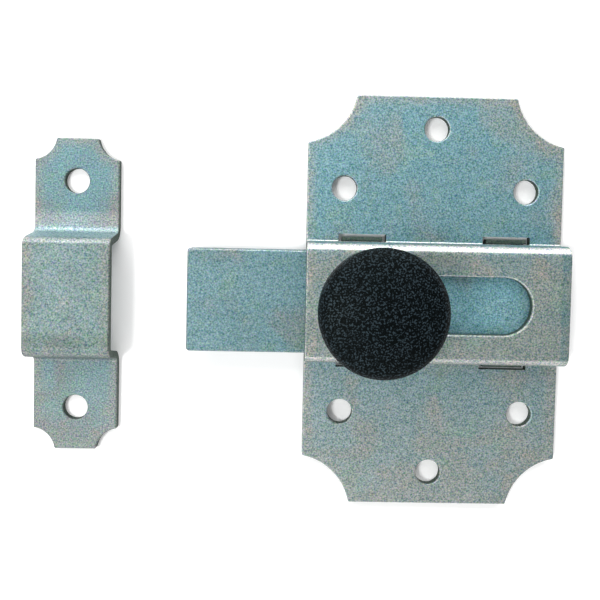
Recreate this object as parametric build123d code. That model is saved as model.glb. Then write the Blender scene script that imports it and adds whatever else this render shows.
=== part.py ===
from build123d import *
from math import cos, radians, tan
import os

# Flat pull bolt for a door, with its keeper, lying on its back
# X runs along the bolt, and the bolt is thrown towards -X, into the keeper
# Y runs along the case plate, across the bolt
# Z points away from the door, and z = 0 is the door's face
# The origin is the centre of the rear plate's back, under the middle of the case
# All sizes are in millimetres

# Sheet thicknesses
case_sheet = 1.5
keeper_sheet = 1.5
rear_sheet = 0.8

# Bolt bar: a length of flat steel bar with eased edges
bar_length = 70.5
bar_width = 19.6
bar_thickness = 4.0
bar_corner_radius = 0.6
bar_edge_radius = 0.5

# Running room round the bar inside the case
bar_side_clearance = 0.2
bar_top_clearance = 0.3
spring_space = 1.1

# Case plate: one sheet folded up into a channel across its middle
case_width = 50.0
case_length = 80.0
case_wall_lean = 0.0
case_bend_radius = 2.2
case_foot_radius = 0.4

# Concave corners of the case plate: arcs centred a little outside each corner
case_scallop_radius = 11.6
case_scallop_side_offset = 2.0
case_scallop_end_offset = 2.2
case_tip_radius = 0.4

# Rounding that punching leaves on the front edges of a sheet, its holes and the knob slot
sheet_edge_radius = 0.3
hole_edge_radius = 0.3
slot_edge_radius = 0.45

# Screw holes, set in from the edges of the case plate
screw_hole_diameter = 4.8
side_screw_inset_x = 7.25
side_screw_inset_y = 18.1
end_screw_inset_y = 6.25

# Knob slot: the round-ended slot in the channel that the knob's neck runs in
knob_slot_length = 35.4
neck_side_clearance = 0.25
neck_end_clearance = 0.2

# Rear plate: closes the channel behind the bar, with four tabs that come up through the case
tab_spacing_x = 28.2
tab_width = 7.8
tab_bend_radius = 0.4
tab_wall_gap = 0.25
tab_relief = 0.8
rear_seat_width = 1.6
rear_corner_radius = 0.8

# Slots in the case for those tabs
tab_slot_length = 9.3
tab_slot_wall_gap = 0.1
tab_slot_outer_gap = 0.5

# Spring tongues: two strips lanced and bowed out of the rear plate, to bear on the bar's back
tongue_spacing_y = 14.4
tongue_width = 3.6
tongue_length = 18.0
tongue_rise_length = 12.0
tongue_tip_length = 4.5
tongue_tip_drop = 0.5
tongue_lance_gap = 0.6
tongue_clearance = 0.05

# Knob: moulded in one piece with its neck
knob_diameter = 22.0
knob_neck_diameter = 10.4
knob_neck_rise = 3.0
knob_flare_length = 7.6
knob_rim_length = 4.6
knob_dome_rise = 2.2
knob_waist_radius = 6.0
knob_shoulder_radius = 4.0
knob_rim_radius = 2.2

# Countersunk screw that holds the knob from the back of the bar
screw_diameter = 4.8
screw_head_diameter = 9.0
screw_head_rim = 0.3
screw_head_sink = 0.2
screw_length = 14.0
screw_tip_length = 2.0
screw_tip_diameter = 2.6
screw_bar_gap = 0.15
screw_knob_gap = 0.05
screw_bore_spare = 1.0
recess_length = 4.6
recess_width = 0.9
recess_depth = 1.8

# Keeper: a folded strap that is screwed down by itself and that the thrown bolt enters
keeper_width = 16.3
keeper_length = 60.9
keeper_center_x = -69.75
keeper_side_clearance = 0.1
keeper_top_clearance = 0.2
keeper_wall_lean = 12.0
keeper_bend_radius = 2.0
keeper_foot_radius = 1.5
keeper_screw_spacing_y = 44.4
keeper_scallop_radius = 4.75
keeper_scallop_offset = 0.6
keeper_tip_radius = 0.3

# Heights above the door, worked up from the rear plate
case_front_z = rear_sheet + case_sheet
bar_back_z = rear_sheet + spring_space
bar_front_z = bar_back_z + bar_thickness
channel_inner_z = bar_front_z + bar_top_clearance
channel_top_z = channel_inner_z + case_sheet
keeper_inner_z = bar_front_z + keeper_top_clearance
above_all = 2 * (channel_top_z + keeper_inner_z)

# Places across the bolt
channel_inner_y = bar_width / 2 + bar_side_clearance
channel_outer_y = channel_inner_y + case_sheet
keeper_inner_y = bar_width / 2 + keeper_side_clearance
tab_inner_y = channel_outer_y + tab_wall_gap
tab_outer_y = tab_inner_y + rear_sheet
side_screw_spacing_x = case_width - 2 * side_screw_inset_x
side_screw_spacing_y = case_length - 2 * side_screw_inset_y
end_screw_spacing_y = case_length - 2 * end_screw_inset_y

# Places along the bolt
knob_slot_width = knob_neck_diameter + 2 * neck_side_clearance
travel = knob_slot_length - knob_neck_diameter - 2 * neck_end_clearance
knob_x = -travel / 2


def hat_section(length, inner_y, back_z, inner_z, sheet, lean, bend_radius, foot_radius):
    """Section of a sheet folded up over the bar: two flanges, two walls and a flat top.

    The walls lean outwards towards the flanges, and inner_y is taken under the flat top.
    """
    end_y = length / 2
    front_z = back_z + sheet
    top_z = inner_z + sheet
    slope = tan(radians(lean))
    outer_y = inner_y + sheet / cos(radians(lean))
    back_y = inner_y + (inner_z - back_z) * slope
    foot_y = outer_y + (inner_z - front_z) * slope
    top_y = outer_y - sheet * slope
    one_side = [
        (inner_y, inner_z),
        (back_y, back_z),
        (end_y, back_z),
        (end_y, front_z),
        (foot_y, front_z),
        (top_y, top_z),
    ]
    other_side = [(-y, z) for y, z in reversed(one_side)]
    section = make_face(Polyline(*one_side, *other_side, close=True))
    bends = [
        (top_y, top_z, bend_radius),
        (inner_y, inner_z, bend_radius - sheet),
        (foot_y, front_z, foot_radius),
        (back_y, back_z, foot_radius + sheet),
    ]
    for bend_y, bend_z, radius in bends:
        section = fillet(points_at(section, bend_y, bend_z), radius)
    return section


def points_at(face, across, height):
    """The two corners of a flat face that lie at this distance to either side and this height."""
    return face.vertices().filter_by(
        lambda v: abs(abs(v.X) - across) < 0.001 and abs(v.Y - height) < 0.001
    )


def scalloped_outline(width, length, radius, side_offset, end_offset, tip_radius):
    """Plan of a sheet whose four corners are cut away by concave arcs."""
    corners = GridLocations(width + 2 * side_offset, length + 2 * end_offset, 2, 2)
    outline = Rectangle(width, length) - corners * Circle(radius)
    return fillet(outline.vertices(), tip_radius)


def folded_sheet(section, outline, width, front_z):
    """Run a folded section along the bolt, trim it to its plan and round its front edges."""
    sheet = extrude(Plane.YZ * section, amount=width / 2, both=True)
    sheet = sheet & extrude(outline, amount=above_all)
    flange_edges = sheet.edges().filter_by(
        lambda e: lies_flat_at(e, front_z) and e.bounding_box().size.X < width - 0.001
    )
    return fillet(flange_edges, sheet_edge_radius)


def lies_flat_at(edge, height):
    """True for an edge that runs level at this height."""
    box = edge.bounding_box()
    return abs(box.min.Z - height) < 0.001 and abs(box.max.Z - height) < 0.001


def punch_holes(sheet, spots, front_z):
    """Punch screw holes at these spots, with their front rims rounded over."""
    sheet -= spots * Cylinder(screw_hole_diameter / 2, above_all)
    rims = sheet.edges().filter_by(GeomType.CIRCLE)
    rims = rims.filter_by(lambda e: e.is_closed and lies_flat_at(e, front_z))
    return fillet(rims, hole_edge_radius)


def make_case_plate():
    """The case: a plate with concave corners, folded up into a channel for the bar."""
    section = hat_section(
        case_length,
        channel_inner_y,
        rear_sheet,
        channel_inner_z,
        case_sheet,
        case_wall_lean,
        case_bend_radius,
        case_foot_radius,
    )
    outline = scalloped_outline(
        case_width,
        case_length,
        case_scallop_radius,
        case_scallop_side_offset,
        case_scallop_end_offset,
        case_tip_radius,
    )
    plate = folded_sheet(section, outline, case_width, case_front_z)
    side_spots = GridLocations(side_screw_spacing_x, side_screw_spacing_y, 2, 2)
    end_spots = GridLocations(0, end_screw_spacing_y, 1, 2)
    plate = punch_holes(plate, side_spots.locations + end_spots.locations, case_front_z)
    plate -= extrude(SlotOverall(knob_slot_length, knob_slot_width), amount=above_all)
    slot_rim = plate.edges().filter_by(
        lambda e: lies_flat_at(e, channel_top_z)
        and abs(e.position_at(0.5).X) < knob_slot_length / 2 + 0.001
        and abs(e.position_at(0.5).Y) < knob_slot_width / 2 + 0.001
    )
    plate = fillet(slot_rim, slot_edge_radius)
    slot_inner_y = channel_outer_y + tab_slot_wall_gap
    slot_outer_y = tab_outer_y + tab_slot_outer_gap
    tab_slot = Box(tab_slot_length, slot_outer_y - slot_inner_y, above_all)
    return plate - GridLocations(tab_spacing_x, slot_inner_y + slot_outer_y, 2, 2) * tab_slot


def tongue_section():
    """Side view of one spring tongue, from its root along the plate to its dropped tip."""
    root_x = -tongue_length / 2
    crest_x = root_x + tongue_rise_length
    crest_z = bar_back_z - tongue_clearance
    middle = ((root_x + crest_x) / 2, (rear_sheet + crest_z) / 2)
    tip = (crest_x + tongue_tip_length, crest_z - tongue_tip_drop)
    rise = TangentArc((root_x, rear_sheet), middle, tangent=(1, 0))
    settle = TangentArc((crest_x, crest_z), middle, tangent=(-1, 0))
    fall = TangentArc((crest_x, crest_z), tip, tangent=(1, 0))
    front = Curve() + [rise, settle, fall]
    back = Pos(0, -rear_sheet) * front
    root_end = Line((root_x, rear_sheet), (root_x, 0))
    tip_end = Line(tip, (tip[0], tip[1] - rear_sheet))
    return make_face(Curve() + [front, back, root_end, tip_end])


def make_rear_plate():
    """The rear plate: a strip behind the bar, with four upturned tabs and two spring tongues."""
    tab_edge_x = (tab_spacing_x - tab_width) / 2
    bend_line_y = tab_inner_y - tab_bend_radius
    seat_y = channel_outer_y + case_foot_radius + rear_seat_width
    web = Rectangle(tab_spacing_x + tab_width, 2 * bend_line_y)
    seat = Rectangle(2 * (tab_edge_x - tab_relief), 2 * seat_y)
    seat = fillet(seat.vertices(), rear_corner_radius)
    plate = extrude(web + seat, amount=rear_sheet)
    tab_section = make_face(
        Polyline(
            (0, 0),
            (tab_outer_y, 0),
            (tab_outer_y, case_front_z),
            (tab_inner_y, case_front_z),
            (tab_inner_y, rear_sheet),
            (0, rear_sheet),
            close=True,
        )
    )
    tab_section = fillet(points_at(tab_section, tab_outer_y, 0), tab_bend_radius + rear_sheet)
    tab_section = fillet(points_at(tab_section, tab_inner_y, rear_sheet), tab_bend_radius)
    tab = extrude(Plane.YZ * tab_section, amount=tab_width / 2, both=True)
    for x in (-tab_spacing_x / 2, tab_spacing_x / 2):
        plate += Pos(x, 0, 0) * tab
        plate += Pos(x, 0, 0) * mirror(tab, Plane.XZ)
    window_length = tongue_rise_length + tongue_tip_length + tongue_lance_gap
    window = Box(window_length, tongue_width + 2 * tongue_lance_gap, above_all)
    window = Pos((window_length - tongue_length) / 2, 0, 0) * window
    tongue = extrude(Plane.XZ * tongue_section(), amount=tongue_width / 2, both=True)
    for y in (-tongue_spacing_y / 2, tongue_spacing_y / 2):
        plate -= Pos(0, y, 0) * window
        plate += Pos(0, y, 0) * tongue
    return plate


def screw_outline(gap):
    """Half outline of the knob screw's head and shank, grown by a gap, up to its full length."""
    head_radius = screw_head_diameter / 2 + gap
    shank_radius = screw_diameter / 2 + gap
    cone_height = head_radius - shank_radius
    return [
        (0, 0),
        (head_radius, 0),
        (head_radius, screw_head_rim),
        (shank_radius, screw_head_rim + cone_height),
        (shank_radius, screw_length),
        (0, screw_length),
    ]


def turned(points):
    """Solid of revolution about Z from a half outline of straight lines."""
    return revolve(Plane.XZ * make_face(Polyline(*points, close=True)), Axis.Z)


def screw_place():
    """Where the outer face of the knob screw's head lies: just inside the bar's back."""
    return Pos(knob_x, 0, bar_back_z + screw_head_sink)


def make_bolt_bar():
    """The bar: flat steel with eased edges, countersunk at its back for the knob screw."""
    bar = Box(bar_length, bar_width, bar_thickness, align=(Align.CENTER, Align.CENTER, Align.MIN))
    bar = Pos(knob_x, 0, bar_back_z) * bar
    bar = fillet(bar.edges().filter_by(Axis.Z), bar_corner_radius)
    level_edges = bar.edges().filter_by(
        lambda e: lies_flat_at(e, bar_back_z) or lies_flat_at(e, bar_front_z)
    )
    bar = fillet(level_edges, bar_edge_radius)
    bar -= screw_place() * turned(screw_outline(screw_bar_gap))
    mouth_radius = screw_head_diameter / 2 + screw_bar_gap
    return bar - Pos(knob_x, 0, bar_back_z) * Cylinder(mouth_radius, 2 * screw_head_sink)


def make_knob():
    """The knob: a neck that runs in the slot, a flared waist, a rounded rim and a low dome."""
    neck_radius = knob_neck_diameter / 2
    rim_radius = knob_diameter / 2
    waist_z = channel_top_z + knob_neck_rise
    shoulder_z = waist_z + knob_flare_length
    rim_z = shoulder_z + knob_rim_length
    top_z = rim_z + knob_dome_rise
    dome_radius = (rim_radius**2 + knob_dome_rise**2) / (2 * knob_dome_rise)
    dome_middle_x = rim_radius / 2
    dome_middle_z = top_z - dome_radius + (dome_radius**2 - dome_middle_x**2) ** 0.5
    side = Polyline(
        (0, top_z),
        (0, bar_front_z),
        (neck_radius, bar_front_z),
        (neck_radius, waist_z),
        (rim_radius, shoulder_z),
        (rim_radius, rim_z),
    )
    dome = ThreePointArc((rim_radius, rim_z), (dome_middle_x, dome_middle_z), (0, top_z))
    profile = make_face(Curve() + [side, dome])
    profile = fillet(points_at(profile, neck_radius, waist_z), knob_waist_radius)
    profile = fillet(points_at(profile, rim_radius, shoulder_z), knob_shoulder_radius)
    profile = fillet(points_at(profile, rim_radius, rim_z), knob_rim_radius)
    knob = Pos(knob_x, 0, 0) * revolve(Plane.XZ * profile, Axis.Z)
    bore_top_z = bar_back_z + screw_head_sink + screw_length + screw_bore_spare
    bore_radius = screw_diameter / 2 + screw_knob_gap
    bore_align = (Align.CENTER, Align.CENTER, Align.MIN)
    bore = Cylinder(bore_radius, bore_top_z - bar_front_z, align=bore_align)
    return knob - Pos(knob_x, 0, bar_front_z) * bore


def make_knob_screw():
    """The countersunk screw, put in from the back of the bar, with a cross recess."""
    outline = screw_outline(0)
    shank_end, point_end = outline[-2], outline[-1]
    shank_radius = shank_end[0]
    outline[-2:] = [
        (shank_radius, screw_length - screw_tip_length),
        (screw_tip_diameter / 2, screw_length),
        point_end,
    ]
    screw = turned(outline)
    arm = Box(recess_length, recess_width, 2 * recess_depth)
    screw -= arm
    screw -= Rot(0, 0, 90) * arm
    return screw_place() * screw


def make_keeper():
    """The keeper: a strap with concave corners, folded up into a bridge for the bar's end."""
    section = hat_section(
        keeper_length,
        keeper_inner_y,
        0,
        keeper_inner_z,
        keeper_sheet,
        keeper_wall_lean,
        keeper_bend_radius,
        keeper_foot_radius,
    )
    outline = scalloped_outline(
        keeper_width,
        keeper_length,
        keeper_scallop_radius,
        keeper_scallop_offset,
        keeper_scallop_offset,
        keeper_tip_radius,
    )
    strap = folded_sheet(section, outline, keeper_width, keeper_sheet)
    spots = GridLocations(0, keeper_screw_spacing_y, 1, 2)
    strap = punch_holes(strap, spots.locations, keeper_sheet)
    return Pos(keeper_center_x, 0, 0) * strap


os.makedirs("parts", exist_ok=True)
export_step(make_case_plate(), "parts/case_plate.step")
export_step(make_rear_plate(), "parts/rear_plate.step")
export_step(make_bolt_bar(), "parts/bolt_bar.step")
export_step(make_knob(), "parts/knob.step")
export_step(make_knob_screw(), "parts/knob_screw.step")
export_step(make_keeper(), "parts/keeper.step")
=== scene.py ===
import bpy
from bpy.props import FloatProperty, FloatVectorProperty, IntProperty, PointerProperty
from mathutils import Matrix, Vector


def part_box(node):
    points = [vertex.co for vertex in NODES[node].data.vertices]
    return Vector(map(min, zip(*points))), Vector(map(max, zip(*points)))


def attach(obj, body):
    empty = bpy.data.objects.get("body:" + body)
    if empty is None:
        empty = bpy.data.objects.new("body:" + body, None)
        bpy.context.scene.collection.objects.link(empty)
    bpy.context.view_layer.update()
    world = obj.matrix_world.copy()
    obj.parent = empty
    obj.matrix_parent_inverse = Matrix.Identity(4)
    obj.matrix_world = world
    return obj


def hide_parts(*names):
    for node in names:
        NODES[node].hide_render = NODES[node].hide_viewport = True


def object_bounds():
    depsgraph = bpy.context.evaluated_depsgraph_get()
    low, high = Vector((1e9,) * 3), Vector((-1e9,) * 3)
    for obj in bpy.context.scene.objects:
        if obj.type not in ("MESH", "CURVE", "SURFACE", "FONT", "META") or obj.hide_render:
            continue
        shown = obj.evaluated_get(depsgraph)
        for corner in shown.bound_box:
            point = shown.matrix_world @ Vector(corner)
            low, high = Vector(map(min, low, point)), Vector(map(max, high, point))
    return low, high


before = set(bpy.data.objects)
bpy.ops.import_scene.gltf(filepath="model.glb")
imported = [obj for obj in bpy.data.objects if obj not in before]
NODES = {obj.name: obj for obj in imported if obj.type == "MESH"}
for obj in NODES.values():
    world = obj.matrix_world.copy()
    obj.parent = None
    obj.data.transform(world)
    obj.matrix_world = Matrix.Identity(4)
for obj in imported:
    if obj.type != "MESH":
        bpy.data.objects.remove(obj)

bl_info = {
    "name": "Flat pull bolt",
    "version": (1, 0, 0),
    "blender": (4, 5, 0),
    "location": "View3D > Sidebar > Pull Bolt",
    "description": "Finishes a folded-sheet pull bolt, its turned knob and its strap keeper",
    "category": "Object",
}

# Lengths are in metres, and X runs along the bolt, Y across it and Z away from the door
MM = 0.001
CAD_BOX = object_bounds()
CASE_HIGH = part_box("case_plate")[1]
BAR_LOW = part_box("bolt_bar")[0]
KNOB_LOW, KNOB_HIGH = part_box("knob")
KEEPER_LOW, KEEPER_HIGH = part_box("keeper")

# Concave corners of the two plates, as in part.py: how far an arc's centre lies past the side and
# past the end, and its radius
CASE_SCALLOP = (2 * MM, 2.2 * MM, 11.6 * MM)
KEEPER_SCALLOP = (0.6 * MM, 0.6 * MM, 4.75 * MM)

# Distances either side of the middle between which a wall is whole sheet, not a cut face
CASE_WALLS = (9.7 * MM, 11.6 * MM)
TAB_WALLS = (11.6 * MM, 12.7 * MM)
KEEPER_WALLS = (9.6 * MM, 13.2 * MM)
BAR_SIDES = (9 * MM, 10 * MM)

# How far below a raised face its wear begins, and how far below it is full
FACE_WEAR_FROM = 2.4 * MM
FACE_WEAR_FULL = 0.4 * MM
# Share of the worn colour on a raised face
FACE_WORN = 0.25

# Height above which a level face of the rear plate is the cut end of a tab, painted dark as the
# shade in the slots
TAB_END_HEIGHT = 2.1 * MM
# How far from the case's right end a bluer, darker strip lies on the raised part, and the heights
# from which that holds
END_STRIP_FROM = 2.1 * MM
END_STRIP_FULL = 1.5 * MM
END_STRIP_HEIGHTS = (5 * MM, 6 * MM)
# Where across the plates the film is greyest, and where it is bluest
GREY_SIDE = -34 * MM
CASE_BLUE_SIDE = 10 * MM
KEEPER_BLUE_SIDE = 0.0
# Along the bar, how far before its end the film is greyest, and where it is bluest
BAR_GREY_LEAD = 5 * MM
BAR_BLUE_END = 12 * MM
# Across the keeper, a painted highlight at the foot of its far wall, painted light on that wall,
# and the dark foot of the near one
KEEPER_FOOT_HIGHLIGHT = (12.6 * MM, 17 * MM)
KEEPER_WALL_LIGHT = (10.9 * MM, 14.2 * MM)
KEEPER_NEAR_BAND = (-9.8 * MM, -5.8 * MM)
# Along the bar, where painted light starts to brighten it towards the slot, and where it is full
SLOT_LIGHT_FROM = -26 * MM
SLOT_LIGHT_FULL = -6 * MM

# Distance from a sheet's outline over which the rubbing fades, and its strength at the outline
EDGE_RUB_FROM = 0.1 * MM
EDGE_RUB_TO = 2.6 * MM
EDGE_RUB = 0.55
# Distances from the middle between which a bend is a fold, where the pale zinc, rubbed film and
# painted highlight, is strongest
FOLD_FROM = (8.8 * MM, 9 * MM)
FOLD_TO = (13 * MM, 14 * MM)
# Half the width over which the painted highlight on the bends gets weaker towards -Y, away from the
# far soft box
HIGHLIGHT_FADE = 8 * MM
# How softly a band of colour begins and ends
BAND_START = 0.8 * MM
BAND_END = 2 * MM
# Share of colour in the grain, and how much smoother a pale bend is
GRAIN_COLOUR = 0.35
BEND_POLISH = 0.25
# From which value of the nylon's grain to which a pale speck shows
SPECKS = (0.5, 0.66)

# Knob: points on each of its rounds, cuts along its crown, and how near two heights or two points
# lie that count as one
ROUND_POINTS = 10
CROWN_CUTS = 14.0
SAME_HEIGHT = 0.01 * MM
SAME_POINT = 0.002 * MM

# Floor: half its width, how far it lies under the object, and where its glow starts and is full
FLOOR_REACH = 3.0
FLOOR_DROP = 0.02 * MM
GLOW_FROM = 0.16
GLOW_TO = 0.8
FAR_GLOW = 0.8
# Way to the darkest part of the room, overhead and at the right
DIM_WAY = (0.64, 0.0, 0.77)
# Places and sizes of the lamps
FAR_PLACE = (-0.05, 0.50, 0.34)
NEAR_PLACE = (-0.05, -0.50, 0.34)
KEY_PLACE = (-0.26, -0.05, 0.45)
SOFT_BOX_SIZE = (0.9, 0.45)
KEY_SIZE = (0.12, 0.12)


def linear(hex_colour):
    """Linear colour with alpha from an sRGB hex colour."""
    parts = [int(hex_colour[i : i + 2], 16) / 255 for i in (1, 3, 5)]
    curve = [c / 12.92 if c <= 0.04045 else ((c + 0.055) / 1.055) ** 2.4 for c in parts]
    return (*curve, 1.0)


def length(name, description, millimetres):
    """A length that a user may change, stored in metres and given in millimetres."""
    return FloatProperty(
        name=name,
        description=description,
        default=millimetres * MM,
        min=0,
        precision=5,
        subtype="DISTANCE",
        unit="LENGTH",
    )


def colour(name, description, hex_colour):
    """A colour that a user may change, given as sRGB hex."""
    return FloatVectorProperty(
        name=name,
        description=description,
        default=linear(hex_colour),
        size=4,
        min=0,
        max=1,
        subtype="COLOR",
    )


def share(name, description, default, high=1.0):
    """A plain number from 0 up that a user may change."""
    return FloatProperty(name=name, description=description, default=default, min=0, max=high)


class PlatingSettings(bpy.types.PropertyGroup):
    """Zinc plating with a blue passivation film, on every steel piece."""

    film: colour("Film", "Blue-green of the passivation film where it is whole", "#6A929A")
    rubbed: colour("Rubbed film", "Grey of the film where it is thin or handled", "#8A9391")
    worn: colour("Worn film", "Duller grey of the film where the sheet stands proud", "#6B7971")
    # Painted light: pale blue on the keeper's far wall, where the far soft box lights it
    painted_light: colour("Painted wall light", "Pale blue of the film on the keeper's sheltered wall", "#B4CFD4")
    green: colour("Green patch", "Green cast where the film is a little thicker", "#7F9A8B")
    brown: colour("Brown patch", "Brown cast in small spots of the film", "#9A948B")
    # Dark zinc on cut faces, partly their own colour and partly painted shade; also painted shade
    # on the tab ends in the slots
    cut: colour("Cut face and shade", "Darker zinc on the torn part of a punched edge", "#4E5B54")
    # Pale zinc on the bends: partly rubbed film and partly a painted highlight of the far soft box
    bright: colour("Polish and highlight", "Pale zinc on a bend, where the film is rubbed off", "#D0CFCE")
    patch: length("Patch size", "Distance across one patch of the film's colour", 11.0)
    spot: length("Spot size", "Distance across one brown or green spot", 4.5)
    # How strong the pale zinc on the bends is: rubbed film and painted highlight
    burnish_and_highlight: share("Burnish", "How far the film is rubbed off a bend or a rounded rim", 0.8)
    grain: length("Grain size", "Distance across one grain of the plating", 0.3)
    grain_depth: length("Grain depth", "Height of the plating's grain", 0.02)
    grain_contrast: share("Grain contrast", "How far the grain changes the colour", 2.7, 4.0)
    roughness: share("Roughness", "Roughness of the plated surface", 0.66)


class KnobSettings(bpy.types.PropertyGroup):
    """The knob's half outline, and its moulded nylon."""

    neck: length("Neck radius", "Radius of the neck that runs in the slot", 5.2)
    bore: length("Bore radius", "Radius of the hole for the screw", 2.45)
    bore_depth: length("Bore depth", "Depth of the hole for the screw, from the foot", 11.2)
    waist_height: length("Waist height", "From the foot to where the flare begins", 4.8)
    shoulder_height: length("Shoulder height", "From the foot to the full diameter", 12.4)
    rim_height: length("Rim height", "From the foot to the edge of the crown", 17.0)
    waist_round: length("Waist round", "Radius between neck and flare", 6.0)
    shoulder_round: length("Shoulder round", "Radius between flare and rim", 4.0)
    rim_round: length("Rim round", "Radius between rim and crown", 1.5)
    ring_parts: IntProperty(
        name="Ring parts", description="Flat faces round the knob", default=128, min=12, max=256
    )
    nylon: colour("Nylon", "Black of the moulded nylon", "#010304")
    speck: colour("Speck", "Grey of the raised specks of the moulding's grain", "#29343A")
    roughness: share("Roughness", "Roughness of the moulded surface", 0.46)
    sheen: share("Sheen", "Strength of the reflection of the moulded surface", 0.05)
    sheen_tint: colour("Sheen tint", "Cast of the reflection of the moulded surface", "#E9FFF5")
    grain: length("Grain size", "Distance across one dimple of the moulding's grain", 0.3)
    grain_depth: length("Grain depth", "Height of the moulding's grain", 0.035)


class StageSettings(bpy.types.PropertyGroup):
    """Camera, lamps and floor."""

    camera_place: FloatVectorProperty(
        name="Camera",
        description="Where the camera stands",
        default=(-28.26 * MM, 13.80 * MM, 125.41 * MM),
        size=3,
        subtype="TRANSLATION",
        unit="LENGTH",
    )
    camera_turn: FloatVectorProperty(
        name="Camera turn",
        description="Pitch, yaw and roll away from looking straight down",
        default=(-0.0349, -0.0168, 0.0218),
        size=3,
        subtype="EULER",
        unit="ROTATION",
    )
    focal_length: FloatProperty(
        name="Focal length", description="Of the lens, on a 36 mm sensor", default=37.95
    )
    shift: FloatProperty(
        name="Shift", description="Of the lens, as a share of the picture", default=-49 / 600
    )
    floor: colour("Floor", "White of the floor", "#FCFCFC")
    far_lamp: FloatProperty(
        name="Far soft box", description="Power of the long lamp beyond the bolt", default=5.2
    )
    near_lamp: FloatProperty(
        name="Near soft box", description="Power of the long lamp at the eye's side", default=1.9
    )
    key_lamp: FloatProperty(
        name="Key lamp", description="Power of the high lamp at the left of the eye", default=1.3
    )
    room: share("Room light", "Brightness of the room where it isn't seen", 0.4, 4.0)
    dim: share("Dim ceiling", "How much darker the room is overhead and at the right", 0.6)
    floor_glow: share("Floor glow", "Light that the seen floor adds to its shading", 0.1)


def add_node(tree, kind, inputs, **settings):
    """Adds a node, sets its options, then links or sets each of its inputs."""
    made = tree.nodes.new(kind)
    for name, value in settings.items():
        setattr(made, name, value)
    for socket, value in inputs.items():
        if isinstance(value, bpy.types.NodeSocket):
            tree.links.new(value, made.inputs[socket])
        else:
            made.inputs[socket].default_value = value
    return made


def new_material(name):
    """An empty material with its node tree, shader and output."""
    material = bpy.data.materials.new(name)
    material.use_nodes = True
    tree = material.node_tree
    tree.nodes.clear()
    shader = tree.nodes.new("ShaderNodeBsdfPrincipled")
    output = tree.nodes.new("ShaderNodeOutputMaterial")
    tree.links.new(shader.outputs["BSDF"], output.inputs["Surface"])
    return material, tree, shader


def calculate(tree, operation, *values):
    """Output of a Math node."""
    return add_node(
        tree, "ShaderNodeMath", dict(enumerate(values)), operation=operation
    ).outputs[0]


def eased(tree, value, low, high, low_value=0.0, high_value=1.0):
    """Smooth step of a value from low to high."""
    inputs = {0: value, 1: low, 2: high, 3: low_value, 4: high_value}
    return add_node(
        tree, "ShaderNodeMapRange", inputs, interpolation_type="SMOOTHSTEP"
    ).outputs[0]


def mixed(tree, factor, first, second):
    """Colour between two colours."""
    inputs = {0: factor, 6: first, 7: second}
    return add_node(tree, "ShaderNodeMix", inputs, data_type="RGBA").outputs[2]


def noise_node(tree, place, feature_size, detail, distortion=0.0):
    """Noise whose features are about this far across, as a value and as a colour."""
    inputs = {
        "Vector": place,
        "Scale": 1 / feature_size,
        "Detail": detail,
        "Distortion": distortion,
    }
    return add_node(tree, "ShaderNodeTexNoise", inputs)


def noise(tree, place, feature_size, detail, distortion=0.0):
    """Value of that noise."""
    return noise_node(tree, place, feature_size, detail, distortion).outputs[0]


def speckled(tree, tint, speckle, contrast, tone):
    """Colour made lighter and darker by a noise colour round one half, at this brightness."""
    around = {0: speckle, 1: (contrast * tone,) * 3, 2: ((1 - contrast / 2) * tone,) * 3}
    factor = add_node(tree, "ShaderNodeVectorMath", around, operation="MULTIPLY_ADD").outputs[0]
    return add_node(
        tree, "ShaderNodeVectorMath", {0: tint, 1: factor}, operation="MULTIPLY"
    ).outputs[0]
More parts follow.
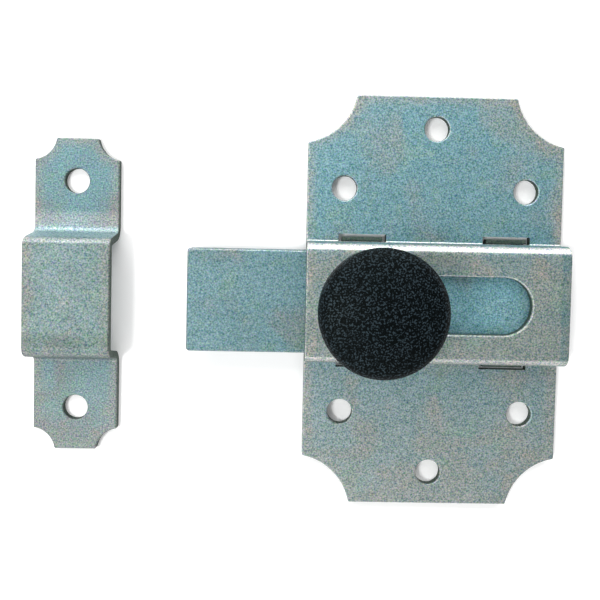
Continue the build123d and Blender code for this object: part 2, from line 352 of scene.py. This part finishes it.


# Zinc-plated, blue-passivated steel sheet, barrel plated after it was punched and folded
# The film is thin enough to tint the zinc blue-green, patchily, and it is greyer on the edges and
# on what stands proud, where the pieces rub on each other; bends and rounded rims are pale, partly
# rubbed film and partly a painted highlight, cut faces are dark, partly their own darker zinc and
# partly painted shade, and the plating has a satin grain
# The real grain is too fine to show, so it is drawn as coarse as it needs to show
def plated_steel(
    name,
    look,
    offset,
    edge_distance=None,
    raised=None,
    thin=0.0,
    drift=None,
    walls=(0.0, 0.0),
    shaded_above=None,
    end_strip=None,
    bands=(),
    lit_span=None,
    burnish_and_highlight=1.0,
    tone=1.0,
):
    """Plated steel for one piece. The offset moves the patches so that no two pieces match.

    edge_distance: function that adds the nodes for the distance from the sheet's outline
    raised: from which height to which the film gets greyer and duller, and how much greyer
    thin: how grey the film is where it is bluest
    drift: an axis, from where to where along it the film gets bluer, and by how much
    walls: distances either side of the middle between which a wall is sheet, not a cut face
    shaded_above: height above which a level face is painted dark, as painted shade
    end_strip: from where along X to where the raised part gets a bluer, darker strip
    bands: where along Y beside a fold, and by how much, another colour is laid; on the keeper these
    are a painted highlight, painted light and a dark band
    lit_span: from where to where along X the colour gets brighter, and by how much, as painted
    light
    burnish_and_highlight: how strong the pale zinc, rubbed film and painted highlight, is on the
    bends and rims of this piece beside those of the case
    tone: brightness of the whole piece beside the case; lowered for the keeper and the bar partly
    as painted shade, to even out the stronger light at the left
    """
    material, tree, shader = new_material(name)
    place = tree.nodes.new("ShaderNodeTexCoord").outputs["Object"]
    axes = add_node(tree, "ShaderNodeSeparateXYZ", {0: place}).outputs
    moved = add_node(tree, "ShaderNodeMapping", {"Vector": place, "Location": offset}).outputs[0]
    patches = noise(tree, moved, look.patch, 3.0, 0.6)
    spots = noise(tree, moved, look.spot, 2.0, 0.8)
    grain, grain_colour = noise_node(tree, moved, look.grain, 1.0).outputs

    rub = eased(tree, patches, 0.44, 0.72, thin, thin + 0.55)
    if edge_distance:
        outline = edge_distance(tree, place)
        near_edge = eased(tree, outline, EDGE_RUB_FROM, EDGE_RUB_TO, EDGE_RUB, 0.0)
        rub = calculate(tree, "ADD", rub, near_edge)
    if drift:
        axis, low, high, amount = drift
        rub = calculate(tree, "ADD", rub, eased(tree, axes[axis], low, high, amount, 0.0))
    if raised:
        low, high, amount = raised
        rub = calculate(tree, "ADD", rub, eased(tree, axes["Z"], low, high, 0.0, amount))
        worn = eased(tree, axes["Z"], low, high, 0.0, FACE_WORN)
    # A bluer, darker strip along the case's right end
    if end_strip:
        end = eased(tree, axes["Z"], *END_STRIP_HEIGHTS)
        end = calculate(tree, "MULTIPLY", end, eased(tree, axes["X"], *end_strip, 0.0, 0.8))
        rub = calculate(tree, "SUBTRACT", rub, end)
    rub = add_node(tree, "ShaderNodeClamp", {0: rub}).outputs[0]
    tint = mixed(tree, rub, look.film, look.rubbed)
    if raised:
        tint = mixed(tree, worn, tint, look.worn)
    tint = mixed(tree, eased(tree, spots, 0.54, 0.76, 0.0, 0.5), tint, look.green)
    brown_spots = calculate(tree, "MULTIPLY", eased(tree, spots, 0.24, 0.44, 0.5, 0.0), rub)
    tint = mixed(tree, brown_spots, tint, look.brown)
    if end_strip:
        tint = mixed(tree, calculate(tree, "MULTIPLY", end, 0.28), tint, look.cut)

    # Pale zinc on the bends and rounded rims: partly rubbed film and partly a painted highlight,
    # weaker towards -Y, away from the far soft box
    normal = tree.nodes.new("ShaderNodeNewGeometry").outputs["Normal"]
    facing = add_node(tree, "ShaderNodeSeparateXYZ", {0: normal}).outputs
    rub_and_highlight = eased(tree, facing["Z"], 0.88, 0.96, look.burnish_and_highlight * burnish_and_highlight, 0.0)
    rub_and_highlight = calculate(tree, "MULTIPLY", rub_and_highlight, eased(tree, facing["Z"], 0.4, 0.6))
    across = calculate(tree, "ABSOLUTE", axes["Y"])
    rub_and_highlight = calculate(tree, "MULTIPLY", rub_and_highlight, eased(tree, across, *FOLD_FROM, 0.5, 1.0))
    rub_and_highlight = calculate(tree, "MULTIPLY", rub_and_highlight, eased(tree, across, *FOLD_TO, 1.0, 0.5))
    lit_side = eased(tree, axes["Y"], -HIGHLIGHT_FADE, HIGHLIGHT_FADE, 0.5, 1.0)
    rub_and_highlight = calculate(tree, "MULTIPLY", rub_and_highlight, lit_side)
    tint = mixed(tree, rub_and_highlight, tint, look.bright)
    # Bands of another colour beside a fold; on the keeper a painted highlight, painted light and a
    # dark band
    for low, high, amount, band_colour in bands:
        mark = eased(tree, axes["Y"], low, low + BAND_START, 0.0, amount)
        fading = eased(tree, axes["Y"], high - BAND_END, high, 1.0, 0.0)
        mark = calculate(tree, "MULTIPLY", mark, fading)
        tint = mixed(tree, mark, tint, band_colour)
    # Dark zinc on the cut faces, partly their own colour and partly painted shade, and painted
    # shade on level faces above a height
    upright = eased(tree, calculate(tree, "ABSOLUTE", facing["Z"]), 0.1, 0.3, 1.0, 0.0)
    middle, half = (walls[0] + walls[1]) / 2, (walls[1] - walls[0]) / 2
    on_wall = calculate(tree, "COMPARE", across, middle, half)
    sideways = calculate(tree, "ABSOLUTE", facing["Y"])
    on_wall = calculate(tree, "MULTIPLY", on_wall, sideways)
    cut = calculate(tree, "MULTIPLY", upright, eased(tree, on_wall, 0.5, 0.7, 1.0, 0.0))
    if shaded_above:
        above = calculate(tree, "GREATER_THAN", axes["Z"], shaded_above)
        cut = calculate(tree, "MAXIMUM", cut, above)
    tint = mixed(tree, cut, tint, look.cut)
    # Painted light: the bar's colour is made brighter along X, towards where it runs in the slot
    if lit_span:
        low, high, gain = lit_span
        painted_light = add_node(
            tree,
            "ShaderNodeVectorMath",
            {0: tint, "Scale": eased(tree, axes["X"], low, high, 1.0, gain)},
            operation="SCALE",
        )
        tint = painted_light.outputs[0]
    speckle = mixed(tree, GRAIN_COLOUR, grain, grain_colour)
    tint = speckled(tree, tint, speckle, look.grain_contrast, tone)

    tree.links.new(tint, shader.inputs["Base Color"])
    shader.inputs["Metallic"].default_value = 1.0
    roughness = eased(tree, patches, 0.3, 0.7, look.roughness - 0.05, look.roughness + 0.05)
    roughness = calculate(tree, "MULTIPLY_ADD", rub_and_highlight, -BEND_POLISH, roughness)
    tree.links.new(roughness, shader.inputs["Roughness"])
    bump = add_node(tree, "ShaderNodeBump", {"Distance": look.grain_depth, "Height": grain})
    tree.links.new(bump.outputs[0], shader.inputs["Normal"])
    return material


def scalloped_edge(centre_x, half_width, half_length, scallop):
    """Distance from a sheet's outline with concave corners, as a function that adds the nodes."""
    past_side, past_end, scallop_radius = scallop

    def add(tree, place):
        parts = add_node(tree, "ShaderNodeSeparateXYZ", {0: place})
        along = calculate(tree, "SUBTRACT", parts.outputs["X"], centre_x)
        along = calculate(tree, "ABSOLUTE", along)
        across = calculate(tree, "ABSOLUTE", parts.outputs["Y"])
        side = calculate(tree, "SUBTRACT", half_width, along)
        end = calculate(tree, "SUBTRACT", half_length, across)
        plan = add_node(tree, "ShaderNodeCombineXYZ", {"X": along, "Y": across}).outputs[0]
        corner = add_node(
            tree,
            "ShaderNodeVectorMath",
            {0: plan, 1: (half_width + past_side, half_length + past_end, 0)},
            operation="DISTANCE",
        ).outputs["Value"]
        corner = calculate(tree, "SUBTRACT", corner, scallop_radius)
        return calculate(tree, "MINIMUM", calculate(tree, "MINIMUM", side, end), corner)

    return add


# Moulded nylon, dyed black, with the even grain of a spark-eroded mould
# It gives a soft, broad sheen, small pale specks and no sharp reflection
# The real grain is too fine to show, so it is drawn as coarse as it needs to show
def moulded_nylon(name, look):
    """Black nylon for the knob."""
    material, tree, shader = new_material(name)
    place = tree.nodes.new("ShaderNodeTexCoord").outputs["Object"]
    grain = noise(tree, place, look.grain, 1.0)
    tint = mixed(tree, eased(tree, grain, *SPECKS), look.nylon, look.speck)
    tree.links.new(tint, shader.inputs["Base Color"])
    shader.inputs["Specular IOR Level"].default_value = look.sheen
    shader.inputs["Specular Tint"].default_value = look.sheen_tint
    roughness = eased(tree, grain, 0.4, 0.6, look.roughness + 0.14, look.roughness - 0.06)
    tree.links.new(roughness, shader.inputs["Roughness"])
    bump = add_node(tree, "ShaderNodeBump", {"Distance": look.grain_depth, "Height": grain})
    tree.links.new(bump.outputs[0], shader.inputs["Normal"])
    return material


def dress(node_name, material):
    """Gives a CAD node its material."""
    for slot in NODES[node_name].material_slots:
        slot.material = material


def new_node_tree(name, inputs):
    """An empty geometry node tree with named inputs. Returns the tree and its input sockets."""
    tree = bpy.data.node_groups.new(name, "GeometryNodeTree")
    for socket_name, socket_type in inputs.items():
        tree.interface.new_socket(socket_name, in_out="INPUT", socket_type=socket_type)
    tree.interface.new_socket("Geometry", in_out="OUTPUT", socket_type="NodeSocketGeometry")
    group_input = tree.nodes.new("NodeGroupInput")
    return tree, group_input.outputs


def finish_tree(tree, geometry, material):
    """Realizes the instances, sets the material and joins the result to the output."""
    real = add_node(tree, "GeometryNodeRealizeInstances", {"Geometry": geometry})
    painted = add_node(
        tree, "GeometryNodeSetMaterial", {"Geometry": real.outputs[0], "Material": material}
    )
    output = tree.nodes.new("NodeGroupOutput")
    tree.links.new(painted.outputs[0], output.inputs[0])


def grow(name, tree, values):
    """Runs a geometry node tree with these input values and returns its result as a plain mesh."""
    piece = bpy.data.objects.new(name, bpy.data.meshes.new(name))
    bpy.context.scene.collection.objects.link(piece)
    modifier = piece.modifiers.new(name, "NODES")
    modifier.node_group = tree
    for item in tree.interface.items_tree:
        if item.in_out == "INPUT" and item.name in values:
            modifier[item.identifier] = values[item.name]
    evaluated = piece.evaluated_get(bpy.context.evaluated_depsgraph_get())
    mesh = bpy.data.meshes.new_from_object(evaluated)
    piece.modifiers.clear()
    piece.data = mesh
    return piece


def turned_knob_tree(material):
    """A half outline with rounded corners and a crowned end, spun into a closed knob."""
    names = ["Bore", "Neck", "Rim", "Foot", "Bore top", "Waist", "Shoulder", "Rim top", "Crown"]
    names += ["Waist round", "Shoulder round", "Rim round", "Along"]
    inputs = {name: "NodeSocketFloat" for name in names}
    inputs["Ring parts"] = "NodeSocketInt"
    tree, size = new_node_tree("Turned knob", inputs)
    corners = [
        (0.0, "Bore top", 0.0),
        ("Bore", "Bore top", 0.0),
        ("Bore", "Foot", 0.0),
        ("Neck", "Foot", 0.0),
        ("Neck", "Waist", "Waist round"),
        ("Rim", "Shoulder", "Shoulder round"),
        ("Rim", "Rim top", "Rim round"),
        (0.0, "Rim top", 0.0),
    ]
    index = tree.nodes.new("GeometryNodeInputIndex").outputs[0]
    places = tree.nodes.new("GeometryNodeIndexSwitch")
    places.data_type = "VECTOR"
    rounds = tree.nodes.new("GeometryNodeIndexSwitch")
    rounds.data_type = "FLOAT"
    for switch in (places, rounds):
        tree.links.new(index, switch.inputs["Index"])
        while len(switch.index_switch_items) < len(corners):
            switch.index_switch_items.new()
    for number, (radius, height, rounding) in enumerate(corners):
        across = {"X": size[radius] if radius else 0.0, "Y": size[height]}
        corner = add_node(tree, "ShaderNodeCombineXYZ", across)
        tree.links.new(corner.outputs[0], places.inputs[number + 1])
        if rounding:
            tree.links.new(size[rounding], rounds.inputs[number + 1])
    points = add_node(
        tree, "GeometryNodePoints", {"Count": len(corners), "Position": places.outputs[0]}
    )
    outline = add_node(tree, "GeometryNodePointsToCurves", {"Points": points.outputs[0]})
    outline = add_node(
        tree,
        "GeometryNodeFilletCurve",
        {"Curve": outline.outputs[0], "Count": ROUND_POINTS, "Radius": rounds.outputs[0]},
        mode="POLY",
    )

    place = tree.nodes.new("GeometryNodeInputPosition").outputs[0]
    parts = add_node(tree, "ShaderNodeSeparateXYZ", {0: place})
    on_top = calculate(tree, "SUBTRACT", size["Rim top"], parts.outputs["Y"])
    on_top = calculate(tree, "LESS_THAN", on_top, SAME_HEIGHT)
    cuts = calculate(tree, "MULTIPLY", on_top, CROWN_CUTS)
    outline = add_node(
        tree, "GeometryNodeSubdivideCurve", {"Curve": outline.outputs[0], "Cuts": cuts}
    )
    above = calculate(tree, "SUBTRACT", size["Rim top"], size["Rim round"])
    above = calculate(tree, "GREATER_THAN", parts.outputs["Y"], above)
    reach = calculate(tree, "DIVIDE", parts.outputs["X"], size["Rim"])
    rise = calculate(tree, "SUBTRACT", 1.0, calculate(tree, "MULTIPLY", reach, reach))
    rise = calculate(tree, "MULTIPLY", calculate(tree, "MULTIPLY", rise, size["Crown"]), above)
    lift = add_node(tree, "ShaderNodeCombineXYZ", {"Y": rise})
    outline = add_node(
        tree, "GeometryNodeSetPosition", {"Geometry": outline.outputs[0], "Offset": lift.outputs[0]}
    )

    # The outline is swept round a circle of the rim's radius, so it is moved in by as much,
    # and it is turned over because the sweep lays its second axis down
    place = tree.nodes.new("GeometryNodeInputPosition").outputs[0]
    parts = add_node(tree, "ShaderNodeSeparateXYZ", {0: place})
    inward = calculate(tree, "SUBTRACT", parts.outputs["X"], size["Rim"])
    down = calculate(tree, "MULTIPLY", parts.outputs["Y"], -1.0)
    swept_place = add_node(tree, "ShaderNodeCombineXYZ", {"X": inward, "Y": down})
    outline = add_node(
        tree,
        "GeometryNodeSetPosition",
        {"Geometry": outline.outputs[0], "Position": swept_place.outputs[0]},
    )
    ring = add_node(
        tree,
        "GeometryNodeCurvePrimitiveCircle",
        {"Resolution": size["Ring parts"], "Radius": size["Rim"]},
    )
    ring = add_node(
        tree, "GeometryNodeSetCurveNormal", {"Curve": ring.outputs[0]}, mode="Z_UP"
    )
    body = add_node(
        tree,
        "GeometryNodeCurveToMesh",
        {"Curve": ring.outputs[0], "Profile Curve": outline.outputs[0]},
    )
    body = add_node(
        tree, "GeometryNodeMergeByDistance", {"Geometry": body.outputs[0], "Distance": SAME_POINT}
    )
    body = add_node(tree, "GeometryNodeFlipFaces", {"Mesh": body.outputs[0]})
    away = add_node(tree, "ShaderNodeCombineXYZ", {"X": size["Along"]})
    body = add_node(
        tree,
        "GeometryNodeTransform",
        {"Geometry": body.outputs[0], "Translation": away.outputs[0]},
    )
    finish_tree(tree, body.outputs[0], material)
    return tree


class PULLBOLT_OT_plate_case(bpy.types.Operator):
    """Plate the folded case and the rear plate behind it"""

    bl_idname = "pullbolt.plate_case"
    bl_label = "Plate the case"

    def execute(self, context):
        look = context.scene.pullbolt_plating
        case_edge = scalloped_edge(0.0, CASE_HIGH.x, CASE_HIGH.y, CASE_SCALLOP)
        case = plated_steel(
            "Blue zinc, case",
            look,
            (0, 0, 0),
            edge_distance=case_edge,
            raised=(CASE_HIGH.z - FACE_WEAR_FROM, CASE_HIGH.z - FACE_WEAR_FULL, 0.5),
            thin=0.12,
            drift=("Y", GREY_SIDE, CASE_BLUE_SIDE, 0.65),
            walls=CASE_WALLS,
            end_strip=(CASE_HIGH.x - END_STRIP_FROM, CASE_HIGH.x - END_STRIP_FULL),
        )
        dress("case_plate", case)
        rear = plated_steel(
            "Blue zinc, rear plate",
            look,
            (0.1, 0, 0),
            thin=0.2,
            walls=TAB_WALLS,
            shaded_above=TAB_END_HEIGHT,
        )
        dress("rear_plate", rear)
        return {"FINISHED"}


class PULLBOLT_OT_plate_keeper(bpy.types.Operator):
    """Plate the keeper"""

    bl_idname = "pullbolt.plate_keeper"
    bl_label = "Plate the keeper"

    def execute(self, context):
        look = context.scene.pullbolt_plating
        middle = (KEEPER_LOW.x + KEEPER_HIGH.x) / 2
        half = KEEPER_HIGH.x - middle
        keeper_edge = scalloped_edge(middle, half, KEEPER_HIGH.y, KEEPER_SCALLOP)
        keeper = plated_steel(
            "Blue zinc, keeper",
            look,
            (0, 0.2, 0),
            edge_distance=keeper_edge,
            raised=(KEEPER_HIGH.z - FACE_WEAR_FROM, KEEPER_HIGH.z - FACE_WEAR_FULL, 0.35),
            thin=0.25,
            drift=("Y", GREY_SIDE, KEEPER_BLUE_SIDE, 0.5),
            walls=KEEPER_WALLS,
            bands=(
                # Painted highlight at the foot of the far wall, where the far soft box lights it
                (*KEEPER_FOOT_HIGHLIGHT, 0.3, look.bright),
                # Painted light on the far wall
                (*KEEPER_WALL_LIGHT, 0.6, look.painted_light),
                (*KEEPER_NEAR_BAND, 0.3, look.cut),
            ),
            burnish_and_highlight=0.35,
            tone=0.78,
        )
        dress("keeper", keeper)
        return {"FINISHED"}


class PULLBOLT_OT_plate_bolt(bpy.types.Operator):
    """Plate the bolt bar and its screw"""

    bl_idname = "pullbolt.plate_bolt"
    bl_label = "Plate the bolt"

    def execute(self, context):
        look = context.scene.pullbolt_plating
        bar = plated_steel(
            "Blue zinc, bar",
            look,
            (0, 0, 0.3),
            drift=("X", BAR_LOW.x - BAR_GREY_LEAD, BAR_BLUE_END, 0.3),
            walls=BAR_SIDES,
            lit_span=(SLOT_LIGHT_FROM, SLOT_LIGHT_FULL, 1.47),
            burnish_and_highlight=0.4,
            tone=0.76,
        )
        dress("bolt_bar", bar)
        dress("knob_screw", plated_steel("Blue zinc, screw", look, (0.4, 0, 0)))
        return {"FINISHED"}


class PULLBOLT_OT_turn_knob(bpy.types.Operator):
    """Turn the knob from its half outline"""

    bl_idname = "pullbolt.turn_knob"
    bl_label = "Turn the knob"

    def execute(self, context):
        look = context.scene.pullbolt_knob
        foot = KNOB_LOW.z
        values = {
            "Bore": look.bore,
            "Neck": look.neck,
            "Rim": (KNOB_HIGH.x - KNOB_LOW.x) / 2,
            "Foot": foot,
            "Bore top": foot + look.bore_depth,
            "Waist": foot + look.waist_height,
            "Shoulder": foot + look.shoulder_height,
            "Rim top": foot + look.rim_height,
            "Crown": KNOB_HIGH.z - foot - look.rim_height,
            "Waist round": look.waist_round,
            "Shoulder round": look.shoulder_round,
            "Rim round": look.rim_round,
            "Along": (KNOB_HIGH.x + KNOB_LOW.x) / 2,
            "Ring parts": look.ring_parts,
        }
        material = moulded_nylon("Moulded black nylon", look)
        knob = grow("turned_knob", turned_knob_tree(material), values)
        knob.data.shade_smooth()
        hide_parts("knob")
        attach(knob, "bolt")
        return {"FINISHED"}


def aim(thing, target):
    """Turns a lamp to look at a point."""
    thing.rotation_euler = (Vector(target) - thing.location).to_track_quat("-Z", "Y").to_euler()


def add_lamp(name, place, size, power):
    """A rectangular soft box that looks at the middle of the object."""
    data = bpy.data.lights.new(name, "AREA")
    data.shape = "RECTANGLE"
    data.size, data.size_y = size
    data.energy = power
    lamp = bpy.data.objects.new(name, data)
    lamp.location = place
    middle = (Vector(CAD_BOX[0]) + Vector(CAD_BOX[1])) / 2
    bpy.context.scene.collection.objects.link(lamp)
    aim(lamp, middle)


def seen_directly(tree):
    """1 where the eye, a reflection or a clear material sees the surface, and 0 for other light."""
    rays = tree.nodes.new("ShaderNodeLightPath").outputs
    seen = calculate(tree, "MAXIMUM", rays["Is Camera Ray"], rays["Is Glossy Ray"])
    return calculate(tree, "MAXIMUM", seen, rays["Is Transmission Ray"])


class PULLBOLT_OT_set_stage(bpy.types.Operator):
    """Set the floor, the lamps, the room and the camera"""

    bl_idname = "pullbolt.set_stage"
    bl_label = "Set the stage"

    def execute(self, context):
        scene = context.scene
        look = scene.pullbolt_stage
        scene.view_settings.view_transform = "Standard"

        floor_mesh = bpy.data.meshes.new("floor")
        ways = ((-1, -1), (1, -1), (1, 1), (-1, 1))
        corners = [(x * FLOOR_REACH, y * FLOOR_REACH, -FLOOR_DROP) for x, y in ways]
        floor_mesh.from_pydata(corners, [], [(0, 1, 2, 3)])
        floor = bpy.data.objects.new("floor", floor_mesh)
        scene.collection.objects.link(floor)
        material, tree, shader = new_material("White table")
        shader.inputs["Base Color"].default_value = look.floor
        shader.inputs["Roughness"].default_value = 0.9
        shader.inputs["Specular IOR Level"].default_value = 0.0
        shader.inputs["Emission Color"].default_value = look.floor
        place = tree.nodes.new("ShaderNodeTexCoord").outputs["Object"]
        away = add_node(tree, "ShaderNodeVectorMath", {0: place}, operation="LENGTH")
        away = away.outputs["Value"]
        glow = eased(tree, away, GLOW_FROM, GLOW_TO, look.floor_glow, FAR_GLOW)
        glow = calculate(tree, "MULTIPLY", seen_directly(tree), glow)
        tree.links.new(glow, shader.inputs["Emission Strength"])
        floor_mesh.materials.append(material)

        world = bpy.data.worlds.new("White room")
        scene.world = world
        world.use_nodes = True
        tree = world.node_tree
        tree.nodes.clear()
        strength = eased(tree, seen_directly(tree), 0.0, 1.0, look.room, 1.0)
        sky_way = tree.nodes.new("ShaderNodeTexCoord").outputs["Generated"]
        up_right = add_node(
            tree, "ShaderNodeVectorMath", {0: sky_way, 1: DIM_WAY}, operation="DOT_PRODUCT"
        ).outputs["Value"]
        kept = eased(tree, up_right, 0.0, 1.0, 1.0, 1 - look.dim)
        camera_ray = tree.nodes.new("ShaderNodeLightPath").outputs["Is Camera Ray"]
        kept = calculate(tree, "MAXIMUM", kept, camera_ray)
        strength = calculate(tree, "MULTIPLY", strength, kept)
        background = add_node(tree, "ShaderNodeBackground", {"Strength": strength})
        background.inputs["Color"].default_value = (1, 1, 1, 1)
        output = tree.nodes.new("ShaderNodeOutputWorld")
        tree.links.new(background.outputs[0], output.inputs["Surface"])

        add_lamp("far_soft_box", FAR_PLACE, SOFT_BOX_SIZE, look.far_lamp)
        add_lamp("near_soft_box", NEAR_PLACE, SOFT_BOX_SIZE, look.near_lamp)
        add_lamp("key_lamp", KEY_PLACE, KEY_SIZE, look.key_lamp)

        data = bpy.data.cameras.new("camera")
        data.lens = look.focal_length
        data.sensor_width = 36.0
        data.shift_y = look.shift
        data.clip_start = 0.005
        camera = bpy.data.objects.new("camera", data)
        scene.collection.objects.link(camera)
        pitch, yaw, roll = look.camera_turn
        turn = Matrix.Rotation(yaw, 4, "Y") @ Matrix.Rotation(pitch, 4, "X")
        turn = turn @ Matrix.Rotation(roll, 4, "Z")
        camera.matrix_world = Matrix.Translation(look.camera_place) @ turn
        scene.camera = camera
        return {"FINISHED"}


class PULLBOLT_PT_panel(bpy.types.Panel):
    """Buttons for each group of pieces, in the order they are made"""

    bl_idname = "PULLBOLT_PT_panel"
    bl_label = "Pull Bolt"
    bl_space_type = "VIEW_3D"
    bl_region_type = "UI"
    bl_category = "Pull Bolt"

    def draw(self, context):
        for settings, operators in PANEL_ROWS:
            box = self.layout.box()
            group = getattr(context.scene, settings)
            for name in group.bl_rna.properties.keys():
                if name not in ("rna_type", "name"):
                    box.prop(group, name)
            for operator in operators:
                box.operator(operator.bl_idname)


PANEL_ROWS = [
    (
        "pullbolt_plating",
        [PULLBOLT_OT_plate_case, PULLBOLT_OT_plate_keeper, PULLBOLT_OT_plate_bolt],
    ),
    ("pullbolt_knob", [PULLBOLT_OT_turn_knob]),
    ("pullbolt_stage", [PULLBOLT_OT_set_stage]),
]
SETTINGS = {
    "pullbolt_plating": PlatingSettings,
    "pullbolt_knob": KnobSettings,
    "pullbolt_stage": StageSettings,
}
OPERATORS = [
    PULLBOLT_OT_plate_case,
    PULLBOLT_OT_plate_keeper,
    PULLBOLT_OT_plate_bolt,
    PULLBOLT_OT_turn_knob,
    PULLBOLT_OT_set_stage,
]


def register():
    """Registers the settings, the operators and the panel."""
    for name, group in SETTINGS.items():
        bpy.utils.register_class(group)
        setattr(bpy.types.Scene, name, PointerProperty(type=group))
    for item in [*OPERATORS, PULLBOLT_PT_panel]:
        bpy.utils.register_class(item)


def unregister():
    """Takes away what register added, the other way round."""
    for item in reversed([*OPERATORS, PULLBOLT_PT_panel]):
        bpy.utils.unregister_class(item)
    for name, group in reversed(SETTINGS.items()):
        delattr(bpy.types.Scene, name)
        bpy.utils.unregister_class(group)


def main():
    register()
    bpy.ops.pullbolt.plate_case()
    bpy.ops.pullbolt.plate_keeper()
    bpy.ops.pullbolt.plate_bolt()
    bpy.ops.pullbolt.turn_knob()
    bpy.ops.pullbolt.set_stage()


if __name__ == "__main__":
    main()
